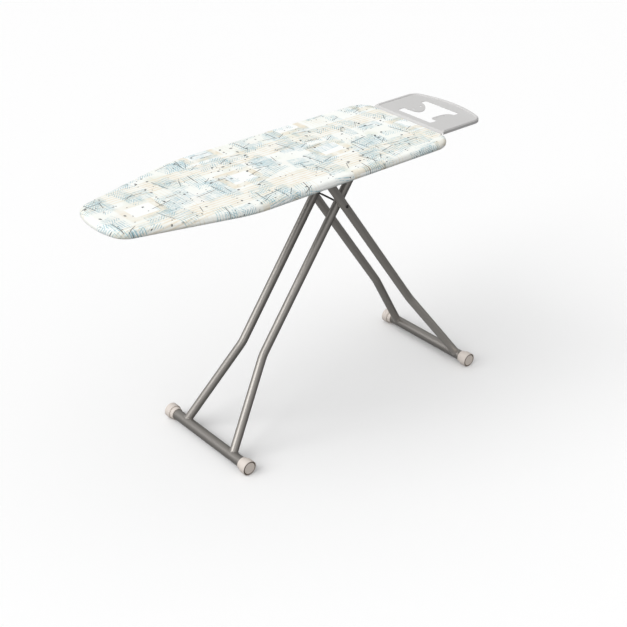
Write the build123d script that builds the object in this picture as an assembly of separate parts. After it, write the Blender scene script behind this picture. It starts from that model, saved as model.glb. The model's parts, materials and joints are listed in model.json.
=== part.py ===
from build123d import *
import os
from math import asin, cos, radians, sin, sqrt

os.makedirs("parts", exist_ok=True)

# An ironing board on crossed tube legs, standing at its working height.
# Millimetres, +Z up. +X runs from the nose to the iron rest, -Y is the near side.
# The origin is on the floor, in the middle of the whole length.

# ---------------------------------------------------------------- main sizes
TOTAL_LENGTH = 1404.0        # nose to the end of the iron rest
BOARD_LENGTH = 1193.0        # cover only
BOARD_WIDTH = 430.0
BOARD_TOP = 905.0            # ironing surface above the floor
EDGE_DEPTH = 24.4            # height of the padded edge

NOSE_X = -TOTAL_LENGTH / 2
REAR_X = NOSE_X + BOARD_LENGTH
REST_END_X = TOTAL_LENGTH / 2
HALF_WIDTH = BOARD_WIDTH / 2
REAR_CORNER = 70.0
SHOULDER_X = NOSE_X + 399.0  # where the straight sides turn in
SHOULDER_BEND = 385.0
CHEEK_X = NOSE_X + 25.0      # where the taper meets the nose curve
CHEEK_Y = 114.0
CHEEK_BEND = 62.0

# ---------------------------------------------------------------- legs
CROSS_X = NOSE_X + 847.0     # crossing pivot, seen along the board
LEG_OD = 28.0
LEG_WALL = 1.2
FOOT_OD = 35.0
FOOT_WALL = 1.2
FOOT_Z = 25.0                # centre of the foot tubes
LEG_LENGTH = 860.0           # crossing pivot to foot centre, in side view
FOOT_REACH = 492.0           # crossing pivot to foot centre, along the board
KNEE_FROM_CROSS = 538.0      # where the legs start to spread sideways
KNEE_BEND = 130.0
NOSE_LEG_Y = 53.0            # the frame whose foot is under the nose runs inside
NOSE_SPREAD_Y = 124.5
REST_LEG_Y = 82.5
REST_SPREAD_Y = 154.0
LEG_HEAD = 14.0              # tube beyond its upper axis
AXIS_Z = 866.0               # upper axes of both frames, folded flat or not

LEAN = asin(sqrt(LEG_LENGTH**2 - FOOT_REACH**2) / LEG_LENGTH)
CROSS_Z = FOOT_Z + LEG_LENGTH * sin(LEAN)
UPPER_ARM = (AXIS_Z - CROSS_Z) / sin(LEAN)
HINGE_X = CROSS_X + UPPER_ARM * cos(LEAN)
SLIDE_X = CROSS_X - UPPER_ARM * cos(LEAN)
FOLDED_SLIDE_X = HINGE_X - 2 * UPPER_ARM

FOOT_BAR = 426.0             # over the end caps
CAP_R = FOOT_Z
CAP_DISC = 24.0
CAP_COLLAR = 14.0
CAP_COLLAR_R = 21.0
CAP_WALL = 7.0
POCKET_R = 23.7
POCKET_DEPTH = 3.0
PLUG_R = 20.2

# ---------------------------------------------------------------- board top
CLOTH = 1.2
PAD = 6.0
SHEET = 0.9
SHEET_INSET = 5.0
FLANGE = 14.0
GAP = 0.3
HEM = 38.0                   # width of cover turned in under the edge

COVER_BOTTOM = BOARD_TOP - EDGE_DEPTH
PAD_TOP = BOARD_TOP - CLOTH - GAP
SHEET_TOP = PAD_TOP - PAD - GAP
SHEET_UNDER = SHEET_TOP - SHEET

VENT_R = 6.0
VENT_PITCH_X = 36.0
VENT_PITCH_Y = 31.0

# ---------------------------------------------------------------- iron rest
REST_SHEET = 1.4
REST_TOP = BOARD_TOP + 2.0
BEAD_HEIGHT = 3.0
REST_HALF = 157.0
REST_CORNER = 42.0
REST_SIDE_X = REST_END_X - 34.0
REST_FLANGE = 10.0
TONGUE = 46.0                # flat part under the pad
TONGUE_Z = SHEET_TOP + GAP
STEP = 12.0                  # length of the bend up to the plate
WINDOW_X0 = REAR_X + 27.0
WINDOW_X1 = REAR_X + 157.0
WINDOW_HALF = 76.0
LOBE_LENGTH = 76.0
LOBE_REACH = 45.0
LOBE_BEND = 115.0

# ---------------------------------------------------------------- slide and catch
RAIL_IN = 100.5
RAIL_SHEET = 2.0
RAIL_DROP = 48.0
RAIL_FLANGE = 20.0
RAIL_X0 = CROSS_X - 258.0
RAIL_X1 = CROSS_X - 40.0
PIN_R = 4.0
BUSH_R = 6.5
STEP_HEIGHTS = [905.0, 865.0, 825.0, 785.0, 745.0, 705.0]
CATCH_X = CROSS_X - 60.0
CATCH_Z = 887.0
CATCH_Y = 112.0
CATCH_WIRE = 6.0
BAIL_Z = AXIS_Z - PIN_R - 0.4 - CATCH_WIRE / 2
GRIP_Y = 158.0

NEAR = -1
FAR = 1
SIDES = {"near": NEAR, "far": FAR}


def save(shape, node):
    """Write one named piece."""
    export_step(shape, f"parts/{node}.step")


def rod(radius, y0, y1, x, z):
    """Round bar along Y."""
    length = abs(y1 - y0)
    return Pos(x, (y0 + y1) / 2, z) * Rot(X=90) * Cylinder(radius, length)


def post(radius, x, y, z0, z1):
    """Round bar along Z."""
    return Pos(x, y, (z0 + z1) / 2) * Cylinder(radius, z1 - z0)


def slab(x0, x1, y0, y1, z0, z1):
    """Block between two corners."""
    block = Box(abs(x1 - x0), abs(y1 - y0), abs(z1 - z0))
    return Pos((x0 + x1) / 2, (y0 + y1) / 2, (z0 + z1) / 2) * block


def plan(inset):
    """Outline of the board in plan, moved in from the cover's edge."""
    sides = Polyline(
        (CHEEK_X, CHEEK_Y), (SHOULDER_X, HALF_WIDTH), (REAR_X, HALF_WIDTH),
        (REAR_X, -HALF_WIDTH), (SHOULDER_X, -HALF_WIDTH), (CHEEK_X, -CHEEK_Y),
    )
    nose = ThreePointArc((CHEEK_X, -CHEEK_Y), (NOSE_X, 0), (CHEEK_X, CHEEK_Y))
    outline = make_face(sides + nose)
    for x, radius in ((REAR_X, REAR_CORNER), (SHOULDER_X, SHOULDER_BEND), (CHEEK_X, CHEEK_BEND)):
        corners = [v for v in outline.vertices() if abs(v.X - x) < 0.5]
        outline = fillet(corners, radius)
    if inset:
        outline = offset(outline, amount=-inset)
    return outline


def layer(inset, z0, z1, top_round=0.0, bottom_round=0.0):
    """Solid slice of the board with rounded edges."""
    body = Pos(0, 0, z0) * extrude(plan(inset), amount=z1 - z0)
    if top_round:
        body = fillet(body.faces().sort_by(Axis.Z)[-1].edges(), top_round)
    if bottom_round:
        body = fillet(body.faces().sort_by(Axis.Z)[0].edges(), bottom_round)
    return body


def rivet(x, y, z_top, z_under):
    """Flush rivet: shank between two heights with a domed head below."""
    head = post(4.5, x, y, z_under - 2.2, z_under)
    head = fillet(head.faces().sort_by(Axis.Z)[0].edges(), 1.6)
    return post(2.5, x, y, z_under, z_top) + head


# ---------------------------------------------------------------- fixings
rail_rivets = [(x, side * (RAIL_IN + 13.0)) for side in (NEAR, FAR)
               for x in (RAIL_X0 + 14, (RAIL_X0 + RAIL_X1) / 2, RAIL_X1 - 44)]
hinge_rivets = [(HINGE_X + dx, side * 24.0) for side in (NEAR, FAR) for dx in (-22.0, 22.0)]
rest_rivets = [(REAR_X - 34.0, y) for y in (-120.0, -40.0, 40.0, 120.0)]

# ---------------------------------------------------------------- steel top
sheet = layer(SHEET_INSET, SHEET_TOP - FLANGE, SHEET_TOP, top_round=3.0)
sheet -= layer(SHEET_INSET + SHEET, SHEET_TOP - FLANGE, SHEET_UNDER, top_round=2.1)

keep_clear = [
    (RAIL_X0 - 8, RAIL_X1 + 8, RAIL_IN - 8, RAIL_IN + RAIL_FLANGE + 10),
    (HINGE_X - 40, HINGE_X + 40, 0, 44),
    (REAR_X - 62, REAR_X, 0, REST_HALF + 8),
    (NOSE_X, REAR_X, 124, 176),
]


def vent_spots():
    """Staggered steam vents that miss every fixing."""
    safe = plan(24.0).face()
    spots = []
    rows = int(HALF_WIDTH / VENT_PITCH_Y)
    for row in range(-rows, rows + 1):
        shift = VENT_PITCH_X / 2 if row % 2 else 0.0
        for column in range(int(BOARD_LENGTH / VENT_PITCH_X) + 1):
            x = NOSE_X + 18 + shift + column * VENT_PITCH_X
            y = row * VENT_PITCH_Y
            blocked = any(x0 - VENT_R < x < x1 + VENT_R and y0 - VENT_R < abs(y) < y1 + VENT_R
                          for x0, x1, y0, y1 in keep_clear)
            ribbed = any(abs(x - rib) < 24 for rib in (CROSS_X - 330, CROSS_X + 215))
            if not blocked and not ribbed and safe.is_inside((x, y, 0)):
                spots.append((x, y))
    return spots


vents = extrude(Sketch() + [Pos(x, y) * Circle(VENT_R) for x, y in vent_spots()], amount=10)
sheet -= Pos(0, 0, SHEET_UNDER - 4) * vents
for x, y in rail_rivets + hinge_rivets + rest_rivets:
    sheet -= post(2.5, x, y, SHEET_UNDER - 1, SHEET_TOP + 1)

# ---------------------------------------------------------------- ribs under the sheet


def hat(length, depth=10.0, crown=16.0, foot=10.0, gauge=0.9):
    """Pressed hat rib along X, its feet at Z=0."""
    outer = Polyline((-crown / 2 - 4 - foot, 0), (-crown / 2 - 4, 0), (-crown / 2, -depth),
                     (crown / 2, -depth), (crown / 2 + 4, 0), (crown / 2 + 4 + foot, 0))
    inner = Polyline((crown / 2 + 4 + foot, -gauge), (crown / 2 + 5.5, -gauge),
                     (crown / 2 + 1.3, -depth - gauge), (-crown / 2 - 1.3, -depth - gauge),
                     (-crown / 2 - 5.5, -gauge), (-crown / 2 - 4 - foot, -gauge))
    ends = Line(outer @ 1, inner @ 0) + Line(inner @ 1, outer @ 0)
    section = make_face(outer + inner + ends)
    rib = extrude(Plane.YZ * section, amount=length)
    return Pos(-length / 2, 0, 0) * rib


long_rib = hat(860.0, depth=8.8)
cross_rib = hat(2 * 126.0, depth=8.8)
long_ribs = {name: Pos(CROSS_X - 130, side * 150.0, SHEET_UNDER) * long_rib
             for name, side in SIDES.items()}
cross_ribs = {"front": Pos(CROSS_X - 330, 0, SHEET_UNDER) * Rot(Z=90) * cross_rib,
              "rear": Pos(CROSS_X + 215, 0, SHEET_UNDER) * Rot(Z=90) * cross_rib}

# ---------------------------------------------------------------- slide rails and racks


def slide_spot(height):
    """Where the slide pins stand along X for a given board height."""
    rise = height - (BOARD_TOP - AXIS_Z) - FOOT_Z
    lean = asin(rise / (LEG_LENGTH + UPPER_ARM))
    return HINGE_X - 2 * UPPER_ARM * cos(lean)


def slot(radius, x0, x1, z0, z1, y0, y1):
    """Straight slot through a web, square to Y."""
    cut = slab(x0, x1, y0, y1, z0, z1)
    return cut + rod(radius, y0, y1, x0, z0 + radius) + rod(radius, y0, y1, x1, z0 + radius)


def slide_rail(side):
    """Angle rail with the slot that carries one slide pin."""
    y0 = side * RAIL_IN
    y1 = side * (RAIL_IN + RAIL_SHEET)
    rail = slab(RAIL_X0, RAIL_X1, y0, y1, SHEET_UNDER - RAIL_DROP, SHEET_UNDER)
    lower = rail.edges().filter_by(Axis.Y).sort_by(Axis.Z)[:2]
    rail = fillet(lower, 12.0)
    rail += slab(RAIL_X0, RAIL_X1 - 30, y1, side * (RAIL_IN + RAIL_FLANGE + 4),
                 SHEET_UNDER - RAIL_SHEET, SHEET_UNDER)
    low = AXIS_Z - BUSH_R - 0.4
    rail -= slot(BUSH_R + 0.4, FOLDED_SLIDE_X, SLIDE_X, low, low + 2 * BUSH_R + 0.8,
                 side * (RAIL_IN - 1), side * (RAIL_IN + RAIL_SHEET + 1))
    rail -= rod(CATCH_WIRE / 2 + 0.08, side * (RAIL_IN - 1), side * (RAIL_IN + RAIL_SHEET + 1),
                CATCH_X, CATCH_Z)
    for x, y in rail_rivets:
        rail -= post(2.5, x, y, SHEET_UNDER - 6, SHEET_UNDER + 1)
    return rail


def height_rack(side):
    """Toothed strip: one rounded notch for every height."""
    y0 = side * (RAIL_IN + RAIL_SHEET)
    y1 = y0 + side * RAIL_SHEET
    foot = AXIS_Z + PIN_R + 0.5
    stops = [slide_spot(height) for height in STEP_HEIGHTS]
    rack = slab(min(stops) - 12, max(stops) + 10, y0, y1, foot, SHEET_UNDER - RAIL_SHEET)
    for x in stops:
        rack -= rod(PIN_R + 0.5, y0 - side, y1 + side, x, foot + 2.2)
        rack -= slab(x - PIN_R - 0.5, x + PIN_R + 0.5, y0 - side, y1 + side, foot - 1, foot + 2.2)
    return rack


rails = {name: slide_rail(side) for name, side in SIDES.items()}
racks = {name: height_rack(side) for name, side in SIDES.items()}

# ---------------------------------------------------------------- hinge under the board
TOP_TUBE_R = 11.0
BLOCK = 15.0
STRAP = 2.0
run = TOP_TUBE_R + 0.06


def hinge_block(y):
    """Plastic bearing between the top tube and the sheet."""
    block = slab(HINGE_X - run, HINGE_X + run, y - BLOCK / 2, y + BLOCK / 2, AXIS_Z, SHEET_UNDER)
    return block - rod(run, y - BLOCK, y + BLOCK, HINGE_X, AXIS_Z)


def hinge_strap(y):
    """Steel saddle that holds the top tube up against the block."""
    y0 = y - BLOCK / 2
    y1 = y + BLOCK / 2
    reach = run + STRAP
    strap = rod(reach, y0, y1, HINGE_X, AXIS_Z) & slab(
        HINGE_X - reach, HINGE_X + reach, y0, y1, AXIS_Z - reach, AXIS_Z)
    strap += slab(HINGE_X - reach, HINGE_X + reach, y0, y1, AXIS_Z, SHEET_UNDER - STRAP)
    strap -= rod(run, y0, y1, HINGE_X, AXIS_Z)
    strap -= slab(HINGE_X - run, HINGE_X + run, y0, y1, AXIS_Z, SHEET_UNDER)
    for direction in (-1, 1):
        strap += slab(HINGE_X + direction * run, HINGE_X + direction * (run + 18), y0, y1,
                      SHEET_UNDER - STRAP, SHEET_UNDER)
    for x, spot_y in hinge_rivets:
        strap -= post(2.5, x, spot_y, SHEET_UNDER - 6, SHEET_UNDER + 1)
    return strap


hinge_spots = [side * 24.0 for side in (NEAR, FAR)]
hinge_blocks = Compound(children=[hinge_block(y) for y in hinge_spots])
hinge_straps = Compound(children=[hinge_strap(y) for y in hinge_spots])

# ---------------------------------------------------------------- iron rest
PLATE_X0 = REAR_X + 4.0


def rest_plan(inset, x0):
    """Outline of the rest from x0 outwards: bowed end, rounded corners."""
    sides = Polyline((REST_SIDE_X, -REST_HALF), (x0 + inset, -REST_HALF),
                     (x0 + inset, REST_HALF), (REST_SIDE_X, REST_HALF))
    end = ThreePointArc((REST_SIDE_X, REST_HALF), (REST_END_X, 0), (REST_SIDE_X, -REST_HALF))
    outline = make_face(sides + end)
    outline = fillet([v for v in outline.vertices() if v.X > x0 + inset + 5], REST_CORNER)
    if inset:
        outline = offset(outline, amount=-inset) & Pos(x0 + 300, 0) * Rectangle(600, 600)
    return outline


def rest_layer(inset, z0, z1, x0=PLATE_X0):
    return Pos(0, 0, z0) * extrude(rest_plan(inset, x0), amount=z1 - z0)


plate = rest_layer(0, REST_TOP - REST_SHEET, REST_TOP)
flange = rest_layer(0, REST_TOP - REST_FLANGE, REST_TOP - REST_SHEET)
flange -= rest_layer(REST_SHEET, REST_TOP - REST_FLANGE, REST_TOP - REST_SHEET, PLATE_X0 - 10)
flange -= slab(PLATE_X0 - 20, PLATE_X0 + 1, -HALF_WIDTH, HALF_WIDTH, 0, REST_TOP - REST_SHEET)
plate += flange
outer_edges = [e for e in plate.faces().sort_by(Axis.Z)[-1].edges()
               if e.center().X > PLATE_X0 + 1]
plate = fillet(outer_edges, 1.3)

bead = rest_layer(2.0, REST_TOP - 0.2, REST_TOP + BEAD_HEIGHT, PLATE_X0)
bead -= rest_layer(10.4, REST_TOP - 0.3, REST_TOP + BEAD_HEIGHT + 1, PLATE_X0 - 20)
bead -= slab(PLATE_X0 - 5, PLATE_X0 + 1, -HALF_WIDTH, HALF_WIDTH, REST_TOP - 1, REST_TOP + 5)
bead = fillet(bead.faces().sort_by(Axis.Z)[-1].edges(), 2.6)
plate += bead

window = extrude(fillet((Pos((WINDOW_X0 + WINDOW_X1) / 2, 0) *
                         Rectangle(WINDOW_X1 - WINDOW_X0, 2 * WINDOW_HALF)).vertices(), 7.0),
                 amount=20)
plate -= Pos(0, 0, REST_TOP - 10) * window


def lobe(side):
    """Rounded tab at one side of the window, curling down to hold a plug or flex."""
    x_mid = (WINDOW_X0 + WINDOW_X1) / 2 + 3.0
    outer = LOBE_BEND
    centre_z = REST_TOP - outer
    ring = Cylinder(outer, 100) - Cylinder(outer - REST_SHEET, 100)
    ring = Pos(x_mid, side * WINDOW_HALF, centre_z) * Rot(Y=90) * ring
    tab_plan = Pos(x_mid, side * (WINDOW_HALF - LOBE_REACH + LOBE_LENGTH / 2)) * \
        Circle(LOBE_LENGTH / 2)
    tab_plan += Pos(x_mid, side * WINDOW_HALF) * Rectangle(LOBE_LENGTH, 2 * (LOBE_REACH - 38.0))
    tab_plan &= Pos(x_mid, side * (WINDOW_HALF - LOBE_REACH / 2)) * Rectangle(120, LOBE_REACH)
    tab = ring & Pos(0, 0, centre_z) * extrude(tab_plan, amount=outer + 5)
    for dx in (-17.0, 17.0):
        tab -= post(3.4, x_mid + dx, side * (WINDOW_HALF - 22.0), centre_z, REST_TOP + 5)
    return tab


for side in SIDES.values():
    plate += lobe(side)

step_face = make_face(Polyline(
    (PLATE_X0 - STEP - TONGUE, TONGUE_Z), (PLATE_X0 - STEP, TONGUE_Z),
    (PLATE_X0, REST_TOP - REST_SHEET), (PLATE_X0, REST_TOP),
    (PLATE_X0 - STEP - 0.6, TONGUE_Z + REST_SHEET),
    (PLATE_X0 - STEP - TONGUE, TONGUE_Z + REST_SHEET), close=True))
tongue = extrude(Plane.XZ * step_face, amount=REST_HALF, both=True)
plate += tongue
for x, y in rest_rivets:
    plate -= post(2.5, x, y, TONGUE_Z - 1, TONGUE_Z + REST_SHEET + 1)
iron_rest = plate

# ---------------------------------------------------------------- pad and cover
tongue_room = slab(PLATE_X0 - STEP - TONGUE - 3, REAR_X + 40, -REST_HALF - 3, REST_HALF + 3,
                   SHEET_TOP, TONGUE_Z + REST_SHEET + 0.4)
step_room = slab(REAR_X - 13, REAR_X + 40, -REST_HALF - 3, REST_HALF + 3, SHEET_TOP, PAD_TOP + 5)
felt_pad = layer(4.0, PAD_TOP - PAD, PAD_TOP, top_round=5.4) - tongue_room - step_room

cover = layer(0.0, COVER_BOTTOM, BOARD_TOP, top_round=9.0, bottom_round=5.0)
cover -= layer(CLOTH, COVER_BOTTOM + CLOTH, BOARD_TOP - CLOTH, top_round=7.8, bottom_round=3.8)
cover -= layer(HEM, COVER_BOTTOM - 1, COVER_BOTTOM + 4)
cover -= slab(REAR_X - 11, REAR_X + 40, -REST_HALF - 1, REST_HALF + 1, SHEET_TOP - 1, BOARD_TOP + 5)

# ---------------------------------------------------------------- leg frames


def tube(path, od, wall):
    """Hollow tube swept along a path."""
    start = Plane(origin=path @ 0, z_dir=path % 0)
    outside = sweep(start * Circle(od / 2), path=path)
    inside = sweep(start * Circle(od / 2 - wall), path=path)
    return outside - inside


def on_leg(direction, distance, y):
    """Point on a leg; distance is measured down from the crossing."""
    return Vector(CROSS_X + direction * distance * cos(LEAN), y, CROSS_Z - distance * sin(LEAN))


def leg_tube(direction, side, upper_y, spread_y):
    """One bent leg, cut to sit on its foot tube."""
    path = FilletPolyline(
        on_leg(direction, -UPPER_ARM - LEG_HEAD, side * upper_y),
        on_leg(direction, KNEE_FROM_CROSS, side * upper_y),
        on_leg(direction, LEG_LENGTH, side * spread_y), radius=KNEE_BEND)
    leg = tube(path, LEG_OD, LEG_WALL)
    foot_x = CROSS_X + direction * FOOT_REACH
    return leg - rod(FOOT_OD / 2, -FOOT_BAR / 2, FOOT_BAR / 2, foot_x, FOOT_Z)


def foot_tube(direction):
    x = CROSS_X + direction * FOOT_REACH
    half = FOOT_BAR / 2 - CAP_WALL
    return rod(FOOT_OD / 2, -half, half, x, FOOT_Z) - rod(
        FOOT_OD / 2 - FOOT_WALL, -half, half, x, FOOT_Z)


def foot_cap(direction, side):
    """Moulded foot: broad wheel-like disc, stepped collar, pocket in the end."""
    x = CROSS_X + direction * FOOT_REACH
    end = FOOT_BAR / 2
    disc = rod(CAP_R, side * end, side * (end - CAP_DISC), x, FOOT_Z)
    disc = fillet(disc.edges(), 1.5)
    collar = rod(CAP_COLLAR_R, side * (end - CAP_DISC), side * (end - CAP_DISC - CAP_COLLAR),
                 x, FOOT_Z)
    collar = fillet(collar.edges().sort_by(Axis.Y)[0 if side > 0 else -1], 1.2)
    cap = disc + collar
    cap -= rod(POCKET_R, side * (end + 1), side * (end - POCKET_DEPTH), x, FOOT_Z)
    cap -= rod(FOOT_OD / 2 + 0.02, side * (end - CAP_WALL), 0, x, FOOT_Z)
    return cap


def cap_plug(direction, side):
    """Disc pressed into the foot's pocket, with two pry notches."""
    x = CROSS_X + direction * FOOT_REACH
    end = FOOT_BAR / 2
    plug = rod(PLUG_R, side * (end - POCKET_DEPTH), side * (end - 0.4), x, FOOT_Z)
    plug = fillet(plug.edges().sort_by(Axis.Y)[-1 if side > 0 else 0], 0.6)
    for turn in (32, 212):
        away = PLUG_R - 1.0
        plug -= rod(2.2, side * (end - 1.8), side * (end + 1),
                    x + away * cos(radians(turn)), FOOT_Z + away * sin(radians(turn)))
    return plug


def drilled(leg, x, z, radius, y):
    """Leg tube with a cross hole."""
    return leg - rod(radius, y - LEG_OD, y + LEG_OD, x, z)


def head_plug(direction, side, y):
    """Domed plastic plug in the open top of a leg."""
    top = on_leg(direction, -UPPER_ARM - LEG_HEAD, side * y)
    along = Vector(-direction * cos(LEAN), 0, sin(LEAN))
    bore = LEG_OD / 2 - LEG_WALL - 0.02
    stem = Plane(origin=top - along * 6.0, z_dir=along) * Cylinder(
        bore, 6.0, align=(Align.CENTER, Align.CENTER, Align.MIN))
    cap = Plane(origin=top, z_dir=along) * Cylinder(
        LEG_OD / 2, 2.4, align=(Align.CENTER, Align.CENTER, Align.MIN))
    far_edge = max(cap.edges(), key=lambda e: (e.center() - top).dot(along))
    return stem + fillet(far_edge, 1.8)


ROD_R = 3.0
ROD_HEAD_R = 5.4
TO_NOSE = -1
TO_REST = 1
nose_parts = {}
rest_parts = {}
for name, side in SIDES.items():
    inner = leg_tube(TO_NOSE, side, NOSE_LEG_Y, NOSE_SPREAD_Y)
    inner = drilled(inner, CROSS_X, CROSS_Z, ROD_R + 0.06, side * NOSE_LEG_Y)
    nose_parts[f"nose_leg_tube_{name}"] = inner
    nose_parts[f"nose_foot_cap_{name}"] = foot_cap(TO_NOSE, side)
    nose_parts[f"nose_foot_plug_{name}"] = cap_plug(TO_NOSE, side)
    nose_parts[f"nose_head_plug_{name}"] = head_plug(TO_NOSE, side, NOSE_LEG_Y)
    outer = leg_tube(TO_REST, side, REST_LEG_Y, REST_SPREAD_Y)
    outer = drilled(outer, CROSS_X, CROSS_Z, ROD_R, side * REST_LEG_Y)
    outer = drilled(outer, SLIDE_X, AXIS_Z, PIN_R, side * REST_LEG_Y)
    rest_parts[f"rest_leg_tube_{name}"] = outer
    rest_parts[f"rest_foot_cap_{name}"] = foot_cap(TO_REST, side)
    rest_parts[f"rest_foot_plug_{name}"] = cap_plug(TO_REST, side)
    rest_parts[f"rest_head_plug_{name}"] = head_plug(TO_REST, side, REST_LEG_Y)
nose_parts["nose_foot_tube"] = foot_tube(TO_NOSE)
rest_parts["rest_foot_tube"] = foot_tube(TO_REST)

top_half = NOSE_LEG_Y
top_tube = rod(TOP_TUBE_R, -top_half, top_half, HINGE_X, AXIS_Z)
top_tube -= rod(TOP_TUBE_R - 1.5, -top_half, top_half, HINGE_X, AXIS_Z)
for side in SIDES.values():
    core = Plane(origin=on_leg(TO_NOSE, -UPPER_ARM - 40, side * NOSE_LEG_Y),
                 z_dir=(TO_NOSE * cos(LEAN), 0, -sin(LEAN))) * Cylinder(
        LEG_OD / 2, 80, align=(Align.CENTER, Align.CENTER, Align.MIN))
    top_tube -= core
nose_parts["nose_top_tube"] = top_tube

# ---------------------------------------------------------------- crossing
HEAD_Y = REST_LEG_Y + LEG_OD / 2
cross_rod = rod(ROD_R, -HEAD_Y, HEAD_Y, CROSS_X, CROSS_Z)
heads = []
washers = []
for side in SIDES.values():
    head = rod(ROD_HEAD_R, side * HEAD_Y, side * (HEAD_Y + 2.6), CROSS_X, CROSS_Z)
    cross_rod += fillet(head.edges().sort_by(Axis.Y)[-1 if side > 0 else 0], 2.0)
    inner_face = NOSE_LEG_Y + LEG_OD / 2
    washer = rod(12.0, side * (inner_face + 0.15), side * (inner_face + 1.3), CROSS_X, CROSS_Z)
    washers.append(washer - rod(ROD_R, side * inner_face, side * (inner_face + 2),
                                CROSS_X, CROSS_Z))
cross_washers = Compound(children=washers)

# ---------------------------------------------------------------- slide pins
PIN_IN = REST_LEG_Y - LEG_OD / 2
PIN_OUT = CATCH_Y + 4.0
slide_pins = {}
slide_bushes = {}
for name, side in SIDES.items():
    pin = rod(PIN_R, side * PIN_IN, side * PIN_OUT, SLIDE_X, AXIS_Z)
    slide_pins[name] = pin + rod(6.0, side * (RAIL_IN + 6.0), side * (RAIL_IN + 7.4),
                                 SLIDE_X, AXIS_Z)
    bush = rod(10.0, side * (RAIL_IN - 3.6), side * (RAIL_IN - 0.4), SLIDE_X, AXIS_Z)
    bush += rod(BUSH_R, side * (RAIL_IN - 0.4), side * (RAIL_IN + RAIL_SHEET - 0.1),
                SLIDE_X, AXIS_Z)
    slide_bushes[name] = bush - rod(PIN_R, side * (RAIL_IN - 5), side * (RAIL_IN + 5),
                                    SLIDE_X, AXIS_Z)

# ---------------------------------------------------------------- height catch
bail_tip_x = CROSS_X - 250.0
bail_back_x = CATCH_X - 18.0


def wire(points, diameter, bend):
    path = FilletPolyline(*points, radius=bend)
    start = Plane(origin=path @ 0, z_dir=path % 0)
    return sweep(start * Circle(diameter / 2), path=path)


catch = wire([
    (bail_tip_x, CATCH_Y, BAIL_Z), (bail_back_x, CATCH_Y, BAIL_Z), (CATCH_X, CATCH_Y, CATCH_Z),
    (CATCH_X, -CATCH_Y, CATCH_Z), (bail_back_x, -CATCH_Y, BAIL_Z), (bail_tip_x, -CATCH_Y, BAIL_Z),
], CATCH_WIRE, 6.0)
catch += wire([
    (bail_back_x - 20, -CATCH_Y - 0.5, BAIL_Z), (CATCH_X + 14, -CATCH_Y - 0.5, BAIL_Z + 2),
    (CATCH_X + 18, -GRIP_Y, AXIS_Z), (CATCH_X + 100, -GRIP_Y, AXIS_Z),
], CATCH_WIRE, 8.0)

grip_x0 = CATCH_X + 34.0
grip_x1 = CATCH_X + 103.0
grip = Pos((grip_x0 + grip_x1) / 2, -GRIP_Y, AXIS_Z) * Rot(Y=90) * Cylinder(6.5, grip_x1 - grip_x0)
grip = fillet(grip.edges(), 2.4)
grip -= Pos(grip_x0 - 1 + 35.5, -GRIP_Y, AXIS_Z) * Rot(Y=90) * Cylinder(CATCH_WIRE / 2 + 0.02, 73)

COIL_TURNS = 4
coil_r = CATCH_WIRE / 2 + 1.1
coil_y = 46.0
coil_path = Helix(pitch=1.5, height=1.5 * COIL_TURNS, radius=coil_r)
coil_start = Plane(origin=coil_path @ 0, z_dir=coil_path % 0)
coil = sweep(coil_start * Circle(0.5), path=coil_path, is_frenet=True)
coil = Pos(CATCH_X, coil_y, CATCH_Z) * Rot(X=90) * coil
catch_spring = coil

# ---------------------------------------------------------------- write every piece
save(sheet, "top_sheet")
for name, rib in long_ribs.items():
    save(rib, f"long_rib_{name}")
for name, rib in cross_ribs.items():
    save(rib, f"cross_rib_{name}")
for name in SIDES:
    save(rails[name], f"slide_rail_{name}")
    save(racks[name], f"height_rack_{name}")
    save(slide_pins[name], f"slide_pin_{name}")
    save(slide_bushes[name], f"slide_bush_{name}")
save(hinge_blocks, "hinge_blocks")
save(hinge_straps, "hinge_straps")
save(iron_rest, "iron_rest")
save(felt_pad, "felt_pad")
save(cover, "cover")
for node, shape in {**nose_parts, **rest_parts}.items():
    save(shape, node)
save(cross_rod, "cross_rod")
save(cross_washers, "cross_washers")
save(Compound(children=[rivet(x, y, SHEET_TOP, SHEET_UNDER - RAIL_SHEET) for x, y in rail_rivets]),
     "rail_rivets")
save(Compound(children=[rivet(x, y, SHEET_TOP, SHEET_UNDER - STRAP) for x, y in hinge_rivets]),
     "hinge_rivets")
save(Compound(children=[rivet(x, y, TONGUE_Z + REST_SHEET, SHEET_UNDER) for x, y in rest_rivets]),
     "rest_rivets")
save(catch, "catch_wire")
save(grip, "catch_grip")
save(catch_spring, "catch_spring")
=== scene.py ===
import json
import math

import bpy
import bmesh
from mathutils import Matrix, Vector, noise
from mathutils.bvhtree import BVHTree


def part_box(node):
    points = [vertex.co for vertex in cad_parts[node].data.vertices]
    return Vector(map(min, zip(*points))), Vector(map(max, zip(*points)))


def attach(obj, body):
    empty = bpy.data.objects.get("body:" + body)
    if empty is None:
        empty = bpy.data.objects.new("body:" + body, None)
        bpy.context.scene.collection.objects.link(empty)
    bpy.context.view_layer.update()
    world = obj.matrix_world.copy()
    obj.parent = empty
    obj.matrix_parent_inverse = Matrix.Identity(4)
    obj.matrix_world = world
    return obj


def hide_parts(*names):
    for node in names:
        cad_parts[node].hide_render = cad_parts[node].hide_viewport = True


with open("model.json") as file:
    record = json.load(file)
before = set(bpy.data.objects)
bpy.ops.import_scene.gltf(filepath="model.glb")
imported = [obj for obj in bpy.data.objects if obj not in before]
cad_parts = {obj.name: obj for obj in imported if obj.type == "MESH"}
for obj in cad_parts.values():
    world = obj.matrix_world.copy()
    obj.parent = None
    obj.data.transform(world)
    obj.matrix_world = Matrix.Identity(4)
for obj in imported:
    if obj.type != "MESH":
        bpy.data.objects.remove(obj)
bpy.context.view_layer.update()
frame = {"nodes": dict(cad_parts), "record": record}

# An ironing board on crossed tube legs. Metres, +Z up, +X from the nose to the iron rest.
nodes = frame["nodes"]
scene = bpy.context.scene

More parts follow.
